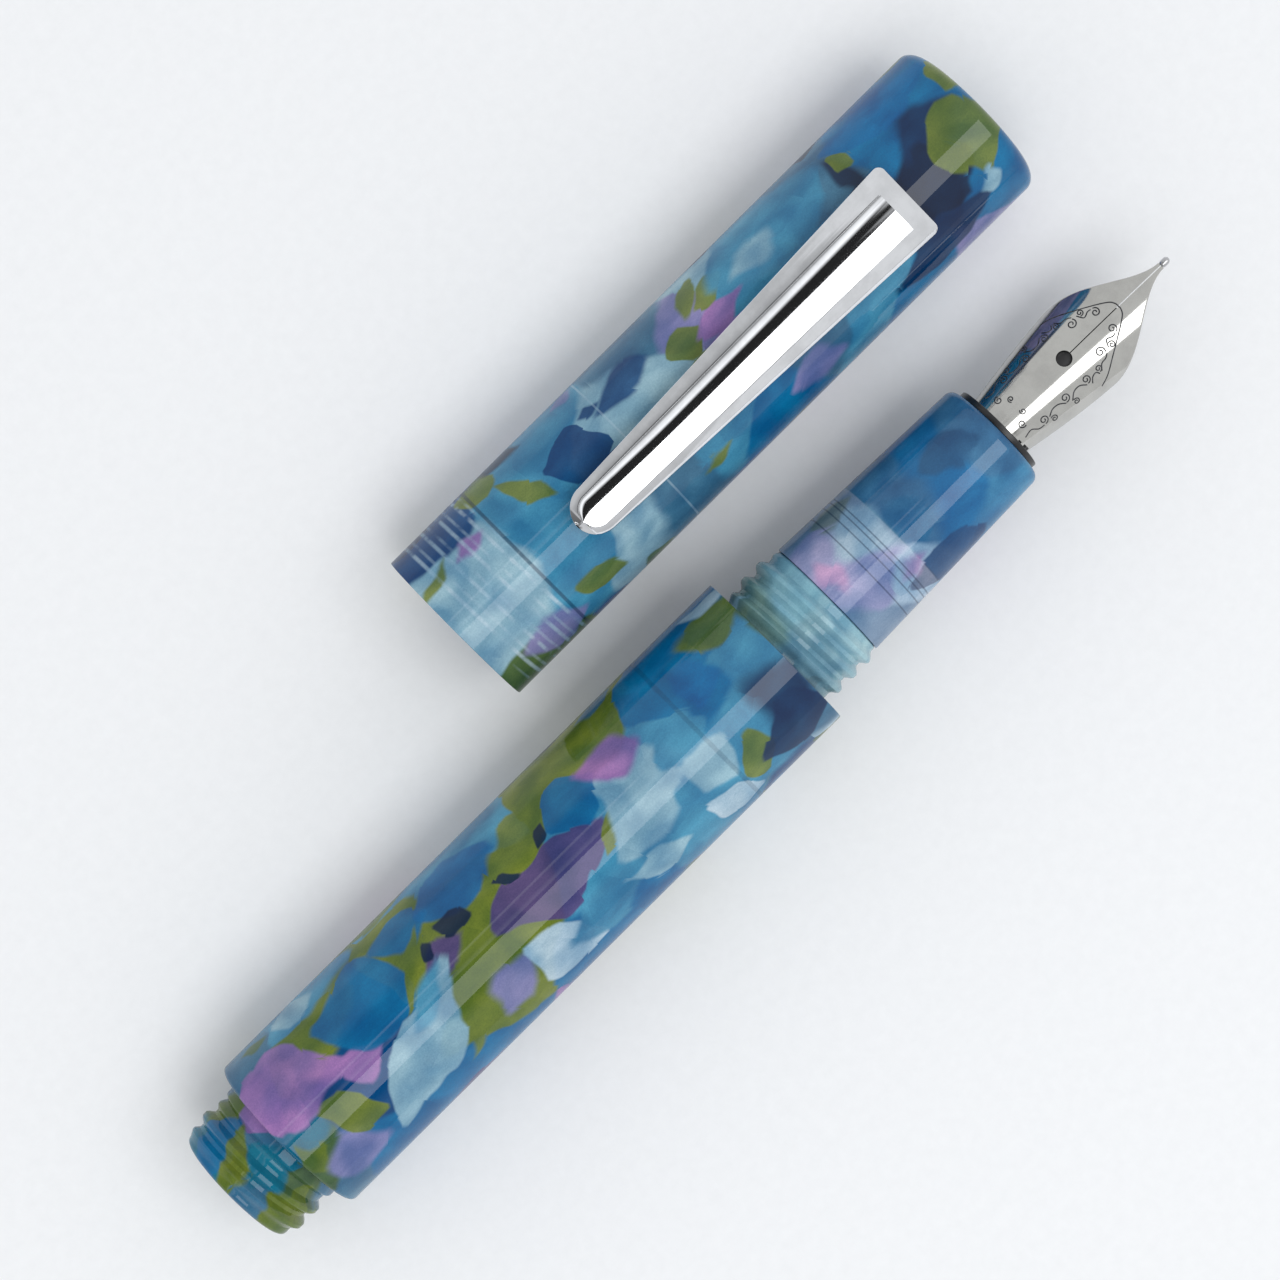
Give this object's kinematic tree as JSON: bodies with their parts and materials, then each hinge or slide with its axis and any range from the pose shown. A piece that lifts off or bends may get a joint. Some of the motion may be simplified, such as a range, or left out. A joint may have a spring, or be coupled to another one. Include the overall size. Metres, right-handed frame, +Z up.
{
  "type": "fountain pen",
  "caption": "Pocket fountain pen lying open: resin barrel threaded at both ends, grip section with steel nib, and a screw cap with a tapered metal clip beside it.",
  "frame": {"origin": "centre of the footprint of pen and cap together, on the surface they lie on", "axes": "+X along the pen from its tail to its nib, +Y from the pen towards the cap beside it, +Z up"},
  "size_m": [0.0996, 0.0322, 0.0164],
  "materials": {
    "barrel_resin": "polished pearl resin in blue, navy, pale blue, olive and lilac chunks",
    "section_resin": "polished translucent steel-blue resin with lilac and navy patches",
    "cap_resin": "polished pearl resin in blue, navy, pale blue, olive and lilac chunks",
    "rubber": "matt black",
    "black_plastic": "satin black",
    "feed_plastic": "fine matt black",
    "nib_steel": "polished steel with an engraved scroll",
    "tipping_alloy": "fine ground",
    "converter_plastic": "satin black",
    "clear_plastic": "clear",
    "ferrule_metal": "bright plated",
    "sleeve_brass": "turned",
    "knob_plastic": "satin black, fluted",
    "rod_plastic": "natural white",
    "head_plastic": "matt dark grey",
    "ball_steel": "polished",
    "clip_chrome": "mirror plated",
    "screw_steel": "turned",
    "washer_steel": "rolled"
  },
  "bodies": {
    "barrel": {"barrel": "barrel_resin"},
    "seal": {"section_o_ring": "rubber"},
    "section": {"section": "section_resin"},
    "nib_unit": {"nib_housing": "black_plastic"},
    "nib": {"nib": "nib_steel", "nib_tipping": "tipping_alloy", "feed": "feed_plastic"},
    "converter": {"converter_mouth": "converter_plastic", "converter_tube": "clear_plastic", "converter_ferrule": "ferrule_metal", "agitator_ball": "ball_steel"},
    "knob": {"converter_knob": "knob_plastic", "drive_sleeve": "sleeve_brass"},
    "piston": {"piston_rod": "rod_plastic", "piston_head": "head_plastic", "piston_seal_front": "rubber", "piston_seal_rear": "rubber"},
    "cap": {"cap": "cap_resin"},
    "clip": {"cap_clip": "clip_chrome", "clip_screw": "screw_steel", "clip_washer": "washer_steel"}
  },
  "joints": [
    {"name": "section_pull", "type": "slide", "parent": "barrel", "child": "seal", "axis": [1, 0, 0], "range_m": [0, 0.052]},
    {"name": "section_turn", "type": "hinge", "parent": "seal", "child": "section", "pos_m": [0.01285, -0.0091, 0.00698], "axis": [1, 0, 0], "range_deg": [0, 1800]},
    {"name": "nib_unit_turn", "type": "hinge", "parent": "section", "child": "nib_unit", "pos_m": [0.0313, -0.0091, 0.00698], "axis": [1, 0, 0], "range_deg": [0, 1260]},
    {"name": "nib_pull", "type": "slide", "parent": "nib_unit", "child": "nib", "axis": [1, 0, 0], "range_m": [0, 0.0125]},
    {"name": "converter_pull", "type": "slide", "parent": "section", "child": "converter", "axis": [-1, 0, 0], "range_m": [0, 0.007]},
    {"name": "knob_turn", "type": "hinge", "parent": "converter", "child": "knob", "pos_m": [-0.03, -0.0091, 0.00698], "axis": [1, 0, 0], "range_deg": [0, 1440]},
    {"name": "piston_travel", "type": "slide", "parent": "converter", "child": "piston", "axis": [-1, 0, 0], "range_m": [0, 0.013]},
    {"name": "cap_slide", "type": "slide", "parent": "barrel", "child": "cap", "axis": [0.9896, -0.1435, 0.0008], "range_m": [0, 0.12752]},
    {"name": "clip_flex", "type": "hinge", "parent": "cap", "child": "clip", "pos_m": [0.0366, 0.00825, 0.0129], "axis": [0, 0.9877, 0.1564], "range_deg": [0, 4], "stiffness_Nm_per_rad": 1.5}
  ],
  "couplings": [
    {"joint": "knob_turn", "follows": "piston_travel", "rad_per_m": 1933.3}
  ]
}
